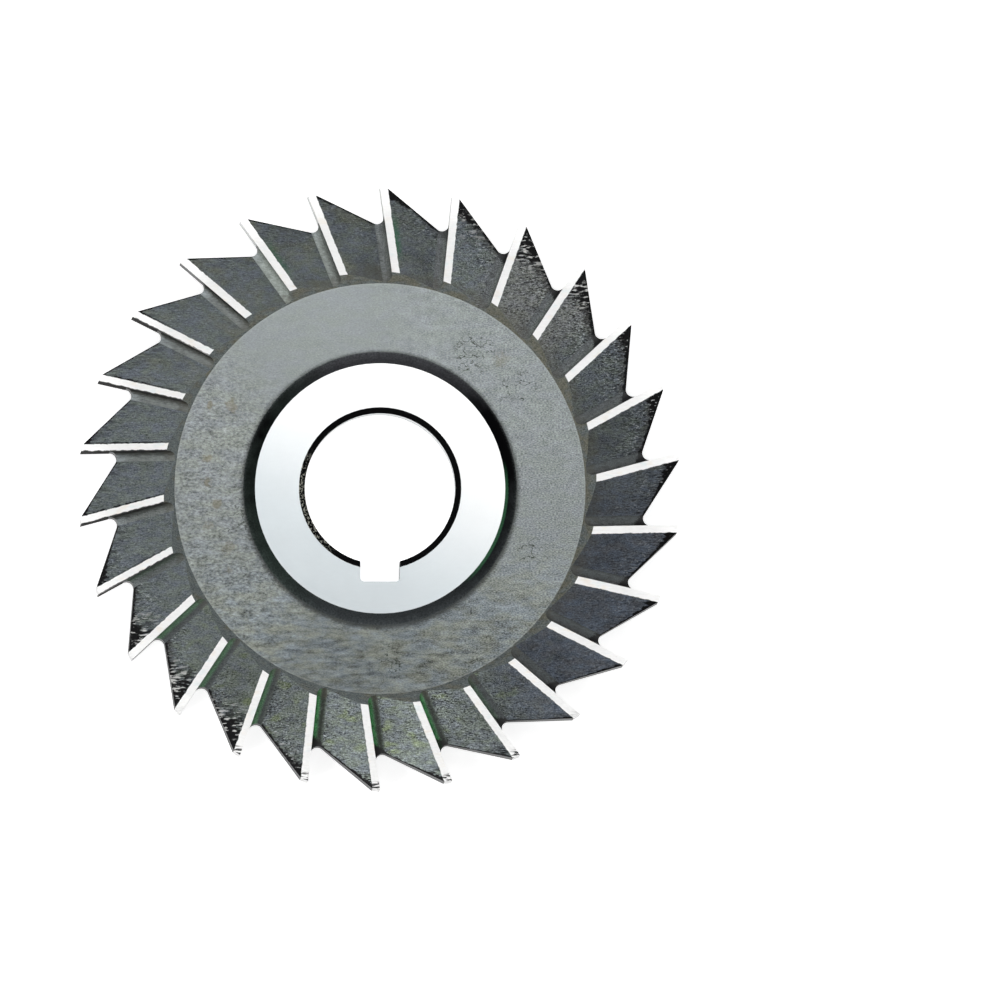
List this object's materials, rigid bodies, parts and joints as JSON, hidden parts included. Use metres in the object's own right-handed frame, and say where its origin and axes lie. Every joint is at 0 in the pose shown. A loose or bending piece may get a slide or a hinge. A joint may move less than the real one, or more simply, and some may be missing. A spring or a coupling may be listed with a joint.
{
  "type": "side and face cutter",
  "caption": "Disc milling cutter with straight teeth round its rim and on both sides, recessed webs, and a raised hub with a keyed bore for an arbor.",
  "frame": {"origin": "centre of the bore at the level of the lower hub face, on which the cutter lies", "axes": "+Z along the bore axis and up from the lower side to the upper side, -Y towards the keyway; seen from +Z the teeth cut anticlockwise"},
  "size_m": [0.1008, 0.1016, 0.0127],
  "materials": {
    "steel": "dark hardened steel with bright ground lands and hub faces"
  },
  "bodies": {
    "root": {"side_and_face_cutter": "steel"}
  },
  "joints": []
}
